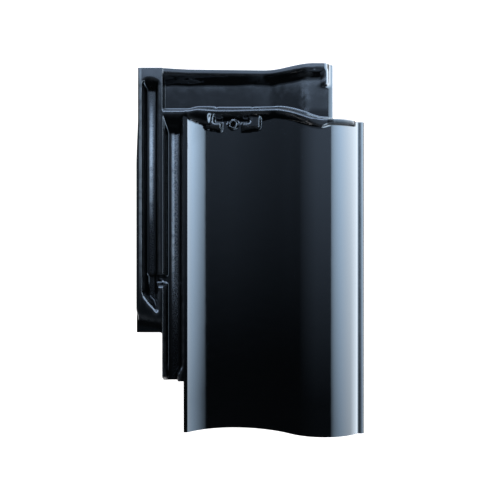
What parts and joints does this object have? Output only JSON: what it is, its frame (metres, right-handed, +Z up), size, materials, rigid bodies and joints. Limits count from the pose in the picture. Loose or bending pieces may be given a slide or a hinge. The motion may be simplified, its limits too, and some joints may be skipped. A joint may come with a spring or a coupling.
{
  "type": "clay roof tile",
  "caption": "Interlocking pan tile of glazed fired clay: S-shaped field with side lock, head lock, nail hole, hanging nibs and cover lips; sheds rain to the tile below.",
  "frame": {"origin": "under the middle of the tile's bounding box, on the level that the nibs and the foot rib stand on", "axes": "+X across the tile from the side lock to the roll, +Y up the slope from the foot to the head, +Z up out of the weather face"},
  "size_m": [0.29, 0.465, 0.0735],
  "materials": {
    "glaze": "gloss black glaze over fired clay"
  },
  "bodies": {
    "root": {"roof_tile": "glaze"}
  },
  "joints": []
}
